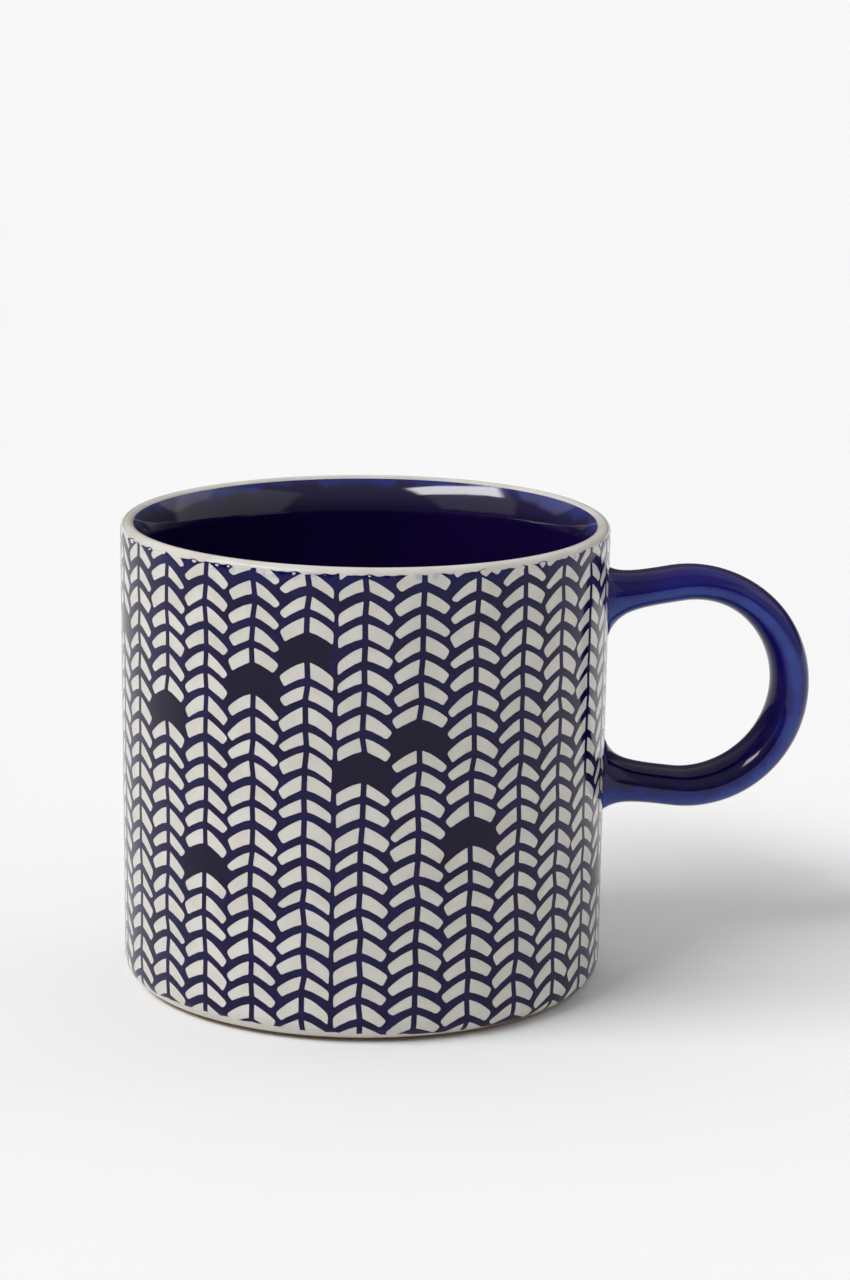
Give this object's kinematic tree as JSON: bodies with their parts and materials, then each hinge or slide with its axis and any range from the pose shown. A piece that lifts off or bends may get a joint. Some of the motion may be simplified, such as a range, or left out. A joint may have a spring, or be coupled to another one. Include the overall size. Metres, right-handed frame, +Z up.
{
  "type": "mug",
  "caption": "Straight-sided stoneware mug with a ring handle, a dark glazed lining and a knit-stitch print under a clear outer glaze, standing on a bare foot ring.",
  "frame": {"origin": "centre of the foot ring, on the plane that the mug stands on", "axes": "+Z up along the cup's axis, +X towards the middle of the handle"},
  "size_m": [0.1268, 0.088, 0.085],
  "materials": {
    "clay": "unglazed, fine sandy",
    "slip": "unglazed, smooth",
    "lining_glaze": "gloss cobalt",
    "outer_glaze": "gloss warm white",
    "handle_glaze": "gloss cobalt",
    "print": "cobalt print under gloss glaze"
  },
  "bodies": {
    "root": {"mug_body": "clay", "handle": "clay", "upper_slip_joint": "slip", "lower_slip_joint": "slip", "inner_glaze": "lining_glaze", "outer_glaze": "outer_glaze", "handle_glaze": "handle_glaze", "base_glaze": "outer_glaze", "knit_print": "print"}
  },
  "joints": []
}
